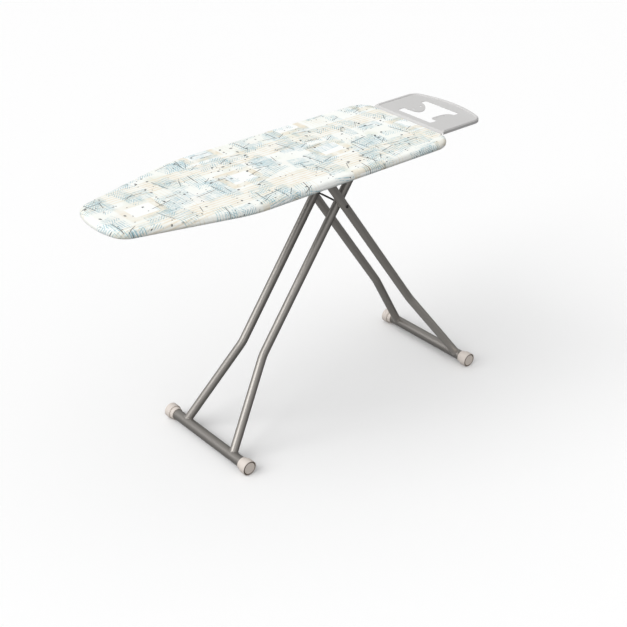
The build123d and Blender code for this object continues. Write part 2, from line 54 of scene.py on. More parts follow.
# ---------------------------------------------------------------- camera
CAMERA_PLACE = Vector((-2.2745, -2.759, 2.420))
CAMERA_TURN = math.radians(40.63)    # from +Y towards +X
CAMERA_DOWN = math.radians(29.97)
CAMERA_ROLL = math.radians(0.33)
CAMERA_LENS = 73.17                  # mm, on a 36 mm sensor


def make_camera():
    """The photograph's view of the board, from in front of the nose and the near side."""
    forward = Vector((math.sin(CAMERA_TURN) * math.cos(CAMERA_DOWN),
                      math.cos(CAMERA_TURN) * math.cos(CAMERA_DOWN),
                      -math.sin(CAMERA_DOWN)))
    right = forward.cross(Vector((0, 0, 1))).normalized()
    up = right.cross(forward)
    rolled_right = right * math.cos(CAMERA_ROLL) + up * math.sin(CAMERA_ROLL)
    rolled_up = rolled_right.cross(forward)
    camera = bpy.data.objects.new("camera", bpy.data.cameras.new("camera"))
    axes = Matrix((rolled_right, rolled_up, -forward)).transposed().to_4x4()
    camera.matrix_world = Matrix.Translation(CAMERA_PLACE) @ axes
    camera.data.sensor_width = 36.0
    camera.data.lens = CAMERA_LENS
    camera.data.clip_start = 0.05
    camera.data.clip_end = 60.0
    scene.collection.objects.link(camera)
    scene.camera = camera


make_camera()


# ---------------------------------------------------------------- shader sums
class Sum:
    """A number that shader nodes work out from the surface. Sums add, multiply and compare."""

    def __init__(self, tree, socket):
        self.tree = tree
        self.socket = socket

    def math(self, operation, *others):
        node = self.tree.nodes.new("ShaderNodeMath")
        node.operation = operation
        for socket, value in zip(node.inputs, (self, *others)):
            feed(self.tree, socket, value)
        return Sum(self.tree, node.outputs[0])

    def __add__(self, other):
        return self.math("ADD", other)

    def __sub__(self, other):
        return self.math("SUBTRACT", other)

    def __mul__(self, other):
        return self.math("MULTIPLY", other)

    def __truediv__(self, other):
        return self.math("DIVIDE", other)

    __radd__ = __add__
    __rmul__ = __mul__

    def size(self):
        return self.math("ABSOLUTE")

    def above(self, other):
        return self.math("GREATER_THAN", other)

    def below(self, other):
        return self.math("LESS_THAN", other)

    def most(self, other):
        return self.math("MAXIMUM", other)

    def rise(self, low, high):
        """0 below low, 1 above high, smooth between them."""
        node = self.tree.nodes.new("ShaderNodeMapRange")
        node.interpolation_type = "SMOOTHSTEP"
        feed(self.tree, node.inputs["Value"], self)
        for name, value in (("From Min", low), ("From Max", high), ("To Min", 0), ("To Max", 1)):
            node.inputs[name].default_value = value
        return Sum(self.tree, node.outputs[0])

    def fall(self, low, high):
        return 1.0 + self.rise(low, high) * -1.0

    def lines(self, pitch, width, soft):
        """Evenly spaced lines: 1 on a line, 0 between."""
        off = ((self / pitch).math("FRACT") - 0.5).size() * pitch
        return off.fall(width / 2 - soft / 2, width / 2 + soft / 2)


def feed(tree, socket, value):
    """Gives a shader socket a sum or a plain number."""
    if isinstance(value, Sum):
        tree.links.new(value.socket, socket)
    else:
        socket.default_value = value


class Shader:
    """A material and the nodes that it is made of."""

    def __init__(self, name, color, roughness, **settings):
        self.material = bpy.data.materials.new(name)
        self.material.use_nodes = True
        self.tree = self.material.node_tree
        self.main = self.tree.nodes["Principled BSDF"]
        self.color = self.plain_color(color)
        self.main.inputs["Roughness"].default_value = roughness
        for key, value in settings.items():
            self.main.inputs[key.replace("_", " ")].default_value = value

    def plain_color(self, color):
        """The ground colour that paint is laid over."""
        node = self.tree.nodes.new("ShaderNodeRGB")
        node.outputs[0].default_value = (*color, 1)
        return node.outputs[0]

    def place(self):
        """Where the point is, in metres."""
        coordinates = self.tree.nodes.new("ShaderNodeTexCoord")
        return coordinates.outputs["Object"]

    def attribute(self, name):
        node = self.tree.nodes.new("ShaderNodeAttribute")
        node.attribute_name = name
        return node

    def split(self, vector):
        node = self.tree.nodes.new("ShaderNodeSeparateXYZ")
        self.tree.links.new(vector, node.inputs[0])
        return [Sum(self.tree, socket) for socket in node.outputs]

    def join(self, x, y, z=0.0):
        node = self.tree.nodes.new("ShaderNodeCombineXYZ")
        for socket, value in zip(node.inputs, (x, y, z)):
            feed(self.tree, socket, value)
        return node.outputs[0]

    def noise(self, vector, scale, detail=3.0, rough=0.5, stretch=None, w=0.0):
        """Cloudy noise about 0.5; stretch squeezes it along each axis, w picks another cloud."""
        if stretch:
            mapping = self.tree.nodes.new("ShaderNodeMapping")
            mapping.inputs["Scale"].default_value = stretch
            self.tree.links.new(vector, mapping.inputs["Vector"])
            vector = mapping.outputs[0]
        node = self.tree.nodes.new("ShaderNodeTexNoise")
        node.noise_dimensions = "4D"
        node.inputs["W"].default_value = w
        node.inputs["Scale"].default_value = scale
        node.inputs["Detail"].default_value = detail
        node.inputs["Roughness"].default_value = rough
        self.tree.links.new(vector, node.inputs["Vector"])
        return Sum(self.tree, node.outputs[0])

    def cells(self, vector, pitch, jitter):
        """Scattered cells: the way to the cell's middle and three random numbers for it."""
        node = self.tree.nodes.new("ShaderNodeTexVoronoi")
        node.voronoi_dimensions = "2D"
        node.inputs["Scale"].default_value = 1 / pitch
        node.inputs["Randomness"].default_value = jitter
        self.tree.links.new(vector, node.inputs["Vector"])
        x, y, _ = self.split(vector)
        middle_x, middle_y, _ = self.split(node.outputs["Position"])
        return x - middle_x, y - middle_y, self.split(node.outputs["Color"])

    def paint(self, amount, color):
        """Lays a colour over what is there, by amount from 0 to 1."""
        node = self.tree.nodes.new("ShaderNodeMix")
        node.data_type = "RGBA"
        feed(self.tree, node.inputs["Factor"], amount)
        self.tree.links.new(self.color, node.inputs[6])
        node.inputs[7].default_value = (*color, 1)
        self.color = node.outputs[2]

    def rough(self, amount, low, high):
        """Roughness from low to high as amount goes from 0 to 1."""
        feed(self.tree, self.main.inputs["Roughness"], low + amount * (high - low))

    def bump(self, height, depth, strength=1.0):
        """Raises the surface by depth metres where height is 1."""
        node = self.tree.nodes.new("ShaderNodeBump")
        node.inputs["Strength"].default_value = strength
        node.inputs["Distance"].default_value = depth
        feed(self.tree, node.inputs["Height"], height)
        last = self.main.inputs["Normal"].links
        if last:
            self.tree.links.new(last[0].from_socket, node.inputs["Normal"])
        self.tree.links.new(node.outputs[0], self.main.inputs["Normal"])

    def done(self):
        """Connects the colour and returns the finished material."""
        self.tree.links.new(self.color, self.main.inputs["Base Color"])
        return self.material


def shade(red, green, blue):
    """Scene colour of a colour on screen, each part from 0 to 255."""
    return tuple(((part / 255 + 0.055) / 1.055) ** 2.4 for part in (red, green, blue))


# ---------------------------------------------------------------- cover print
CREAM = shade(249, 251, 245)
WHITE = shade(253, 255, 253)
SAND = shade(236, 225, 202)
ROSE = shade(242, 230, 219)
PALE_BLUE = shade(204, 225, 231)
BLUE = shade(116, 176, 192)
SLATE = shade(110, 130, 144)
INK = shade(36, 42, 50)
MOSS = shade(209, 215, 188)
PATCH_LAYERS = ((0.132, 1.0), (0.146, 2.0), (0.121, 3.0))    # pitch of the patches, seed
HATCH_PITCH = 0.0088                   # lines inside a patch
LADDER_PITCH = 0.0125                  # rungs across those lines
LINE_PITCH = 0.0128                    # sand lines
REPEAT_X = 0.343                       # one repeat of the print
REPEAT_Y = 0.223
SQUARE_HALF_X = 0.041
SQUARE_HALF_Y = 0.031
NOSE_START = -0.66                     # towards the nose the sand lines thin out
NOSE_END = -0.46
THREAD_RATE = 2200                     # weave, in radians per metre
HEM_SEAM = 0.029                       # stitches, from the board's edge inwards
STITCH_PITCH = 0.0042
QUARTER_TURN = 1.571                   # radians
FULL_TURN = 6.28


def turned(x, y, angle):
    """The same point seen from axes turned by angle."""
    cosine = angle.math("COSINE")
    sine = angle.math("SINE")
    return x * cosine + y * sine, y * cosine - x * sine


def patches(cloth, flat, pitch, seed, wobble):
    """A layer of sketched patches along the cloth or across it: hatched, laddered or chevron."""
    x, y, _ = cloth.split(flat)
    shifted = cloth.join(x + seed * 1.37, y + seed * 0.73)
    dx, dy, (one, two, three) = cloth.cells(shifted, pitch, 0.75)
    lean = one.above(0.55) * QUARTER_TURN + (two - 0.5) * 0.55
    along, across = turned(dx + wobble, dy + wobble * -0.7, lean)
    half_long = two * 0.028 + 0.030
    half_wide = three * 0.018 + 0.017
    ragged = cloth.noise(flat, 75, 2, 0.5, w=seed + 11) * 0.012 - 0.006
    edge = (along.size() - half_long).most(across.size() - half_wide) + ragged
    inside = edge.fall(-0.0015, 0.0015)
    brush = cloth.noise(cloth.join(along, across, seed), 48, 3, 0.6, w=seed).rise(0.36, 0.64)
    streak = cloth.noise(cloth.join(along, across * 7, seed), 30, 2, 0.6, w=seed).rise(0.40, 0.62)
    chevron = (along + across.size() * 0.9).lines(HATCH_PITCH, 0.0024, 0.0012)
    length_wise = across.lines(HATCH_PITCH * 0.92, 0.0022, 0.0012)
    hatch = chevron * three.below(0.50) + length_wise * three.above(0.50)
    half = (along * (two - 0.5)).above(-0.006)

    cloth.paint(inside * half * brush * 0.18, PALE_BLUE)
    cloth.paint(inside * hatch * (0.14 + brush * 0.74), BLUE)
    grid = inside * along.lines(LADDER_PITCH, 0.0014, 0.0012) * two.above(0.45)
    cloth.paint(grid * (0.10 + streak * 0.45), SLATE)

    pressed = cloth.noise(flat, 42, 1, 0.5, w=seed + 5).rise(0.28, 0.46) * 0.5 + 0.5
    stroke = (across - half_wide * (two * 1.7 - 0.5)).size().fall(0.0007, 0.0018)
    reach = ((along - (one - 0.5) * 0.06).size() - two * 0.016).fall(0.020, 0.026)
    cloth.paint(stroke * reach * pressed * three.above(0.34) * 0.92, INK)
    tick_x, tick_y = turned(dx, dy, one * 3.1)
    tick = (tick_x + half_long * (three * 1.7 - 0.5)).size().fall(0.0006, 0.0016)
    tick_reach = (tick_y + 0.006).size().fall(0.017, 0.022)
    cloth.paint(tick * tick_reach * pressed * one.above(0.45) * 0.85, INK)


def plaid(cloth, x, y, wobble, worn):
    """Groups of long sand lines, and clear squares in sand frames."""
    line_y = y + wobble
    line_x = x + wobble
    group = ((y / REPEAT_Y + 0.10).math("FRACT") - 0.5).size().fall(0.16, 0.19)
    cross = ((x / REPEAT_X + 0.80).math("FRACT") - 0.5).size().fall(0.09, 0.11)
    cloth.paint(group * (0.04 + worn * 0.16), SAND)
    cloth.paint(group * line_y.lines(LINE_PITCH, 0.0054, 0.0024) * (0.40 + worn * 0.60), SAND)
    cloth.paint(group * line_y.lines(LINE_PITCH, 0.0016, 0.0012) * worn * 0.35, ROSE)
    cloth.paint(cross * line_x.lines(LINE_PITCH, 0.0026, 0.0016) * worn * 0.70, SAND)
    square_x = ((x / REPEAT_X + 0.12).math("FRACT") - 0.5).size() * REPEAT_X
    square_y = ((y / REPEAT_Y + 0.62).math("FRACT") - 0.5).size() * REPEAT_Y
    square = (square_x - SQUARE_HALF_X).most(square_y - SQUARE_HALF_Y)
    frame_marks = square.rise(-0.002, 0.002) * square.fall(0.020, 0.026)
    cloth.paint(frame_marks * (0.20 + worn * 0.70), SAND)
    cloth.paint(square.fall(-0.002, 0.001) * 0.95, WHITE)


def dots(cloth, flat, pitch, seed, radius, share, strewn):
    """Ink dots on a share of the places, some of them drawn out, where strewn is 1."""
    x, y, _ = cloth.split(flat)
    shifted = cloth.join(x + seed, y - seed)
    dx, dy, (one, two, three) = cloth.cells(shifted, pitch, 0.9)
    along, across = turned(dx, dy, three * FULL_TURN)
    away = ((along * (0.50 + two * 0.35)) * (along * (0.50 + two * 0.35))
            + across * across).math("SQRT")
    spot = away.fall(radius * 0.6, radius) * one.above(1 - share) * strewn
    cloth.paint(spot * 0.95, INK)


def cover_cotton():
    """Printed plain-weave cotton, with a line of stitching in the hem and painted shade along the
    seam.
    """
    cloth = Shader("cover_cotton", CREAM, 0.86, Sheen_Weight=0.18, Sheen_Roughness=0.55,
                   Specular_IOR_Level=0.28)
    flat = cloth.attribute("flat_place").outputs["Vector"]
    x, y, _ = cloth.split(flat)
    wobble = (cloth.noise(flat, 16, 2, 0.5) - 0.5) * 0.0075
    worn = cloth.noise(flat, 26, 3, 0.6, w=2.0).rise(0.36, 0.62)
    cloth.paint(cloth.noise(flat, 7, 2, 0.5, w=4.0).rise(0.42, 0.62) * 0.7, WHITE)
    cloth.paint(cloth.noise(flat, 9, 2, 0.5, w=7.0).rise(0.58, 0.68) * 0.22, ROSE)
    cloth.paint(cloth.noise(flat, 11, 2, 0.5, w=9.0).rise(0.58, 0.68) * 0.28, MOSS)
    plaid(cloth, x, y, wobble, worn * (x.rise(NOSE_START, NOSE_END) * 0.6 + 0.4))
    for pitch, seed in PATCH_LAYERS:
        patches(cloth, flat, pitch, seed, wobble)
    strewn = cloth.noise(flat, 10, 2, 0.5, w=6.0).rise(0.42, 0.50)
    dots(cloth, flat, 0.034, 0.4, 0.0040, 0.26, strewn)
    dots(cloth, flat, 0.017, 0.9, 0.0022, 0.20, strewn)

    # weave: threads both ways, one over the other
    weft = (x * THREAD_RATE).math("SINE")
    warp = (y * THREAD_RATE).math("SINE")
    weave = weft * warp
    slub = cloth.noise(flat, 60, 3, 0.6, stretch=(1.0, 14.0, 1.0), w=3.0)
    slub_across = cloth.noise(flat, 60, 3, 0.6, stretch=(14.0, 1.0, 1.0), w=5.0)
    cloth.paint((slub - 0.5).size() * 0.22, shade(226, 220, 206))
    cloth.paint((slub_across - 0.5).size() * 0.22, shade(255, 254, 250))
    hem = Sum(cloth.tree, cloth.attribute("hem_place").outputs["Fac"])
    along_edge = Sum(cloth.tree, cloth.attribute("edge_run").outputs["Fac"])
    seam = (hem - HEM_SEAM).size().fall(0.0006, 0.0011) * hem.above(0.001)
    stitch = seam * ((along_edge / STITCH_PITCH).math("FRACT") - 0.5).size().fall(0.30, 0.36)
    cloth.paint(stitch, WHITE)
    # painted shade along the seam's sunken line
    cloth.paint(seam * 0.25, shade(200, 194, 182))
    cloth.rough(slub, 0.80, 0.93)
    cloth.bump(weave * 0.5 + 0.5, 0.00012, 0.5)
    cloth.bump(slub, 0.0004, 0.5)
    cloth.bump(stitch, 0.0006, 0.8)
    cloth.bump(seam, -0.0008, 0.6)
    return cloth.done()


# ---------------------------------------------------------------- other materials
def leg_paint(name, painted_lightness):
    """Warm grey metallic powder coat with fine flakes and a light orange peel, made lighter or
    darker on some parts as painted light and shade.
    """

    def tone(red, green, blue):
        return tuple(part * painted_lightness for part in shade(red, green, blue))

    paint = Shader(name, tone(158, 154, 149), 0.36, Metallic=0.70,
                   Specular_IOR_Level=0.5, Coat_Weight=0.12, Coat_Roughness=0.3)
    place = paint.place()
    flakes = paint.noise(place, 2600, 1, 0.5)
    cloud = paint.noise(place, 9, 3, 0.55)
    peel = paint.noise(place, 420, 2, 0.5)
    paint.paint(cloud.rise(0.35, 0.7) * 0.30, tone(143, 139, 134))
    paint.paint(flakes.rise(0.60, 0.72) * 0.40, tone(202, 198, 193))
    paint.paint(flakes.fall(0.30, 0.40) * 0.35, tone(112, 109, 105))
    rub = paint.noise(place, 34, 4, 0.7).rise(0.66, 0.78)
    paint.paint(rub * 0.25, tone(172, 169, 164))
    paint.rough(cloud * 0.6 + flakes * 0.4, 0.28, 0.44)
    paint.bump(peel, 0.00012, 0.35)
    paint.bump(flakes, 0.00004, 0.25)
    return paint.done()


def grey_paint(name, color, gloss):
    """Light grey satin powder coat: orange peel, soft dust and faint rubbing."""
    paint = Shader(name, color, gloss, Specular_IOR_Level=0.45, Coat_Weight=0.08,
                   Coat_Roughness=0.35)
    place = paint.place()
    cloud = paint.noise(place, 7, 3, 0.6)
    grain = paint.noise(place, 900, 2, 0.6)
    peel = paint.noise(place, 300, 2, 0.5)
    paint.paint(cloud.rise(0.35, 0.70) * 0.35, tuple(part * 0.92 for part in color))
    paint.paint(grain.rise(0.58, 0.70) * 0.30, tuple(min(part * 1.10, 1) for part in color))
    paint.paint(grain.fall(0.28, 0.40) * 0.25, tuple(part * 0.86 for part in color))
    paint.rough(cloud, gloss - 0.06, gloss + 0.08)
    paint.bump(peel, 0.00015, 0.4)
    paint.bump(grain, 0.00004, 0.3)
    return paint.done()


def moulded(name, color, gloss, scale=700.0):
    """Moulded plastic: fine spark texture, a little mottling, scuffs."""
    plastic = Shader(name, color, gloss, Specular_IOR_Level=0.45)
    place = plastic.place()
    cloud = plastic.noise(place, 22, 3, 0.6)
    spark = plastic.noise(place, scale, 2, 0.6)
    scuff = plastic.noise(place, 130, 5, 0.75, stretch=(1.0, 6.0, 1.0))
    plastic.paint(cloud.rise(0.40, 0.70) * 0.30, tuple(part * 0.90 for part in color))
    plastic.paint(scuff.rise(0.62, 0.76) * 0.30, tuple(part * 0.80 for part in color))
    plastic.rough(cloud * 0.5 + spark * 0.5, gloss - 0.08, gloss + 0.12)
    plastic.bump(spark, 0.00008, 0.4)
    plastic.bump(scuff, 0.00010, 0.3)
    return plastic


def from_axis(x, z, middle):
    """Distance from a foot's axis, which runs across the board."""
    return ((x - middle.x) * (x - middle.x) + (z - middle.z) * (z - middle.z)).math("SQRT")


def foot_plastic(name, cap):
    """The foot's warm white plastic, with painted shade as a dark ring in the end pocket's groove,
    and a worn tread.
    """
    plastic = moulded(name, shade(221, 212, 204), 0.46)
    low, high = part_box(cap)
    x, y, z = plastic.split(plastic.place())
    out = from_axis(x, z, (low + high) / 2)
    end = max(abs(low.y), abs(high.y))
    radius = (high.z - low.z) / 2
    # painted shade: a dark brown ring down in the groove round the plug, on its floor and inner
    # wall
    groove = out.rise(radius - 0.0052, radius - 0.0048) * out.fall(radius - 0.0016, radius - 0.0012)
    groove = groove * y.size().fall(end - 0.0016, end - 0.0008) * y.size().above(end - 0.0045)
    plastic.paint(groove * 0.92, shade(96, 80, 68))
    tread = z.fall(0.0005, 0.006) * out.above(radius - 0.0015)
    plastic.paint(tread * 0.35, shade(160, 150, 140))
    return plastic.done()


def foot_plug(name, cap):
    """The disc pressed into the foot's end: lighter face, and painted shade as a brown rim down in
    the groove.
    """
    plastic = moulded(name, shade(244, 233, 223), 0.50)
    low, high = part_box(cap)
    x, _, z = plastic.split(plastic.place())
    out = from_axis(x, z, (low + high) / 2)
    # painted shade on the plug's outer rim, where it sits down in the groove
    rim = (high.z - low.z) / 2 - 0.0050
    plastic.paint(out.rise(rim - 0.0012, rim - 0.0004) * 0.85, shade(104, 86, 74))
    return plastic.done()


def zinc_steel():
    """Bright zinc plating: cloudy, faintly yellow in places, with a drawn grain."""
    steel = Shader("zinc_steel", (0.62, 0.63, 0.64), 0.30, Metallic=1.0)
    place = steel.place()
    cloud = steel.noise(place, 40, 4, 0.65)
    grain = steel.noise(place, 500, 2, 0.5, stretch=(1.0, 8.0, 8.0))
    steel.paint(cloud.rise(0.35, 0.70) * 0.45, (0.50, 0.51, 0.53))
    steel.paint(cloud.rise(0.62, 0.75) * 0.30, (0.66, 0.63, 0.55))
    steel.rough(grain, 0.22, 0.42)
    steel.bump(grain, 0.00005, 0.3)
    return steel.done()


def felt():
    """Needled felt: matted fibres in every direction, with dimples darkened by painted shade."""
    wool = Shader("felt", shade(222, 219, 210), 0.95, Sheen_Weight=0.35, Sheen_Roughness=0.6,
                  Specular_IOR_Level=0.2)
    place = wool.place()
    fibres = wool.noise(place, 260, 4, 0.7, stretch=(1.0, 5.0, 3.0))
    fibres_across = wool.noise(place, 260, 4, 0.7, stretch=(5.0, 1.0, 3.0))
    x, y, _ = wool.split(place)
    needles = x.lines(0.004, 0.0012, 0.0008) * y.lines(0.004, 0.0012, 0.0008)
    wool.paint(fibres.rise(0.50, 0.68) * 0.4, shade(240, 238, 230))
    wool.paint(fibres_across.fall(0.34, 0.46) * 0.4, shade(186, 182, 172))
    # painted shade in the needle dimples
    wool.paint(needles * 0.3, shade(180, 176, 166))
    wool.rough(fibres, 0.88, 1.0)
    wool.bump(fibres + fibres_across, 0.0007, 0.6)
    wool.bump(needles, -0.0005, 0.5)
    return wool.done()


BOARD_GREY = shade(206, 206, 204)
REST_GREY = shade(208, 207, 206)
NOSE_FRAME_TONE = 1.12                 # how light the leg paint is on each part; the rest frame's is raised as painted light, the foot tubes' lowered as painted shade
REST_FRAME_PAINTED_LIGHT = 1.62
FOOT_TUBE_PAINTED_SHADE = 0.80
finishes = {
    "leg_paint": leg_paint("leg_paint", NOSE_FRAME_TONE),
    "board_paint": grey_paint("board_paint", BOARD_GREY, 0.50),
    "rest_paint": grey_paint("rest_paint", REST_GREY, 0.42),
    "plug_plastic": moulded("plug_plastic", shade(206, 196, 187), 0.50).done(),
    "dark_plastic": moulded("dark_plastic", shade(46, 46, 48), 0.48).done(),
    "nylon": moulded("nylon", shade(232, 230, 222), 0.38).done(),
    "zinc_steel": zinc_steel(),
    "black_steel": moulded("black_steel", shade(60, 57, 55), 0.34, scale=900.0).done(),
    "felt": felt(),
}
# painted light and shade: a lighter copy of the leg paint on the rest frame's legs, a darker one on
# the foot tubes
own_finishes = {
    "rest_leg_tube": leg_paint("leg_paint_rest_frame_painted_light", REST_FRAME_PAINTED_LIGHT),
    "nose_foot": leg_paint("leg_paint_foot_tubes_painted_shade", FOOT_TUBE_PAINTED_SHADE),
}
own_finishes["rest_foot"] = own_finishes["nose_foot"]
for frame_name in ("nose", "rest"):
    cap_name = f"{frame_name}_foot_cap_near"
    own_finishes[f"{frame_name}_foot_cap"] = foot_plastic(f"foot_plastic_{frame_name}", cap_name)
    own_finishes[f"{frame_name}_foot_plug"] = foot_plug(f"foot_plug_{frame_name}", cap_name)


def finish_nodes():
    """Finishes the CAD pieces: by name without its last word, or by the record's material slot."""
    for part in frame["record"]["subparts"]:
        short_name = part["node"].rsplit("_", 1)[0]
        material = own_finishes.get(short_name, finishes.get(part["material_slot"]))
        if material is None:
            continue
        for material_slot in nodes[part["node"]].material_slots:
            material_slot.material = material


finish_nodes()


# ---------------------------------------------------------------- mesh helpers
def new_piece(name, points, faces, body, material):
    """A smooth mesh that moves with a body and has one material."""
    mesh = bpy.data.meshes.new(name)
    mesh.from_pydata([tuple(point) for point in points], [], faces)
    mesh.update()
    mesh.polygons.foreach_set("use_smooth", [True] * len(mesh.polygons))
    piece = bpy.data.objects.new(name, mesh)
    scene.collection.objects.link(piece)
    mesh.materials.append(material)
    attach(piece, body)
    return piece


def add_modifier(piece, kind, **settings):
    modifier = piece.modifiers.new(kind.lower(), kind)
    for key, value in settings.items():
        setattr(modifier, key, value)
    return modifier


def smooth_step(value, low, high):
    """0 below low, 1 above high, smooth between them."""
    share = min(max((value - low) / (high - low), 0.0), 1.0)
    return share * share * (3 - 2 * share)


# ---------------------------------------------------------------- outline of the cover
cover_low, cover_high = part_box("cover")
pad_low, pad_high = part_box("felt_pad")
rest_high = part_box("iron_rest")[1]
OUTLINE_STEP = 0.006
OUTLINE_RAYS = 720
CLOTH = 0.0010                         # thickness
HEM_WIDTH = 0.038
TOP_ROUND = 0.0135
BOTTOM_ROUND = 0.008
TOP_RINGS = 30
TOP_SPINE = 0.20                       # the middle line ends this far inside the cover's ends
PLEAT_PITCH = 0.017
PLEAT_DEPTH = 0.0030
PLEAT_SWAY = 0.0018
TOP_TURNS = (0, 22, 34, 46, 58, 80, 90)          # degrees round the upper edge
BOTTOM_TURNS = range(0, 91, 22)
HEM_INSETS = (0.009, 0.014, 0.019, 0.024, 0.029, 0.033, 0.036, HEM_WIDTH)
HEM_FOLD = ((0.0008, 0.0010), (-0.0004, 0.0018), (-0.0060, 0.0014))    # turned up and back
NOSE_LEG_LINE = 0.102                  # a folded leg passes under the hem this far from the middle
REST_LEG_LINE = 0.0825
SLOT_INSET = 0.011                     # the cover's top stops here, over the iron rest
SLOT_HALF = rest_high.y + 0.001
SLOT_LIP = pad_low.z - 0.0013          # the cover's side stops here, under the iron rest
SLACK = 0.004                          # how much larger the cover is than the pad it is pulled over
SHAPED_SWELL = 0.0007                  # swells shaped before the simulation
SWELL = 0.0012                         # the most that the simulation may move a point
SETTLE_FRAMES = 20
HELD_MARGIN = 0.012                    # cloth held round the iron rest's slot
JOIN_DISTANCE = 0.0004


def node_surface(name):
    """The surface of a CAD piece, for finding points on it."""
    mesh = nodes[name].data
    corners = [vertex.co.copy() for vertex in mesh.vertices]
    return BVHTree.FromPolygons(corners, [tuple(face.vertices) for face in mesh.polygons])


def outline_of(surface, low, high, level):
    """Evenly spaced points round a flat board, seen from above, starting behind on the far side."""
    half = (high.y - low.y) / 2
    rough = []
    for index in range(OUTLINE_RAYS):
        turn = 2 * math.pi * index / OUTLINE_RAYS
        way = Vector((math.cos(turn), math.sin(turn), 0))
        spine_x = low.x + half + (high.x - low.x - 2 * half) * (0.5 + 0.5 * math.cos(turn))
        start = Vector((spine_x, 0, level)) + way * 2.0
        hit = surface.ray_cast(start, -way)[0]
        if hit:
            rough.append(hit)
    runs = [0.0]
    closed = rough + [rough[0]]
    for a, b in zip(closed, closed[1:]):
        runs.append(runs[-1] + (b - a).length)
    total = runs[-1]
    steps = round(total / OUTLINE_STEP)
    points = []
    place = 0
    for step in range(steps):
        target = total * step / steps
        while runs[place + 1] < target:
            place += 1
        share = (target - runs[place]) / (runs[place + 1] - runs[place])
        points.append(closed[place].lerp(closed[place + 1], share))
    return points


def outward(points):
    """Unit normals of a closed outline in plan, pointing out."""
    count = len(points)
    normals = []
    for index in range(count):
        along = points[(index + 2) % count] - points[index - 2]
        normals.append(Vector((along.y, -along.x, 0)).normalized())
    return normals


cover_level = (cover_low.z + cover_high.z) / 2 - 0.002
edge_points = outline_of(node_surface("cover"), cover_low, cover_high, cover_level)
for point in edge_points:
    if point.x > cover_high.x - 0.002 and abs(abs(point.y) - SLOT_HALF) < OUTLINE_STEP / 2:
        point.y = math.copysign(SLOT_HALF, point.y)
edge_normals = outward(edge_points)


def spine_point(point, low, high, margin):
    """The point of the board's middle line that a point of the edge is joined to."""
    share = (point.x - low.x) / (high.x - low.x)
    return Vector((low.x + margin + share * (high.x - low.x - 2 * margin), 0, 0))


def cloth_profile():
    """The cover's section from the flat top outwards and under, as (inset, height)."""
    bottom, top = cover_low.z, cover_high.z
    section = []
    slot_turn = math.asin(1 - SLOT_INSET / TOP_ROUND)             # where the slot's edges are
    lip_turn = math.acos(1 - (top - SLOT_LIP) / TOP_ROUND)
    turns = [math.radians(degrees) for degrees in TOP_TURNS]
    turns += [slot_turn, lip_turn]
    for turn in sorted(turns):
        section.append((TOP_ROUND * (1 - math.sin(turn)), top - TOP_ROUND * (1 - math.cos(turn))))
    for degrees in BOTTOM_TURNS:
        turn = math.radians(degrees)
        section.append((BOTTOM_ROUND * (1 - math.cos(turn)),
                        bottom + BOTTOM_ROUND * (1 - math.sin(turn))))
    for inset in HEM_INSETS:
        section.append((inset, bottom))
    for further_in, up in HEM_FOLD:
        section.append((HEM_WIDTH + further_in, bottom + up))
    return section


def folded_leg_gap(point):
    """1 where the hem is free, 0 where a folded leg lies close under it."""
    line = NOSE_LEG_LINE if point.x < 0 else REST_LEG_LINE
    if abs(point.y) > 0.16:
        return 1.0
    return smooth_step(abs(abs(point.y) - line), 0.018, 0.034)


def ring_faces(point_count, count):
    """Four-sided faces between closed rings of count points each."""
    faces = []
    for ring in range(point_count // count - 1):
        for index in range(count):
            after = (index + 1) % count
            faces.append((ring * count + index, ring * count + after,
                          (ring + 1) * count + after, (ring + 1) * count + index))
    return faces


def make_cover():
    """The cover's points and faces, and for each point where it lies in the flat cut."""
    section = cloth_profile()
    points = []
    flat = []
    hem_at = []
    run_at = []
    runs = [-TOP_ROUND]
    for (inset, height), (last_inset, last_height) in zip(section[1:], section):
        runs.append(runs[-1] + math.hypot(inset - last_inset, height - last_height))
    hem_fold = runs[section.index((HEM_WIDTH, cover_low.z))]

    # the flat top: rings from the middle line out to the rounded edge
    shares = [(index / TOP_RINGS) ** 0.9 for index in range(TOP_RINGS)]
    for share in shares:
        for edge, normal in zip(edge_points, edge_normals):
            spine = spine_point(edge, cover_low, cover_high, TOP_SPINE)
            rim = edge - normal * TOP_ROUND
            point = spine.lerp(Vector((rim.x, rim.y, 0)), share)
            points.append(Vector((point.x, point.y, cover_high.z)))
            flat.append(Vector((point.x, point.y, 0)))
            hem_at.append(0.0)
            run_at.append(0.0)
    # the rounded edge, the side and the hem
    for run, (inset, height) in zip(runs, section):
        under = height < cover_low.z + BOTTOM_ROUND * 0.5
        for index, (edge, normal) in enumerate(zip(edge_points, edge_normals)):
            distance = index * OUTLINE_STEP
            place = edge - normal * inset
            depth = 0.0
            if under:
                grown = smooth_step(inset, 0.002, HEM_WIDTH)
                phase = distance / PLEAT_PITCH
                phase += 1.9 * noise.noise(Vector((distance * 6, 0.3, 0.0)))
                pleat = abs(math.sin(math.pi * phase)) ** 0.8
                depth = -PLEAT_DEPTH * grown * pleat * folded_leg_gap(place)
                place += normal * PLEAT_SWAY * grown * math.sin(2 * math.pi * phase + 0.7)
            points.append(Vector((place.x, place.y, height + depth)))
            flat.append(Vector((edge.x, edge.y, 0)) + normal * run)
            hem_at.append(max(run - hem_fold + HEM_WIDTH, 0.0) if under else 0.0)
            run_at.append(distance)

    def in_slot(face):
        middle = sum((points[corner] for corner in face), Vector()) / 4
        return (abs(middle.y) < SLOT_HALF and middle.x > cover_high.x - SLOT_INSET
                and middle.z > SLOT_LIP + 0.0001)

    faces = [face for face in ring_faces(len(points), len(edge_points)) if not in_slot(face)]
    return points, faces, flat, hem_at, run_at


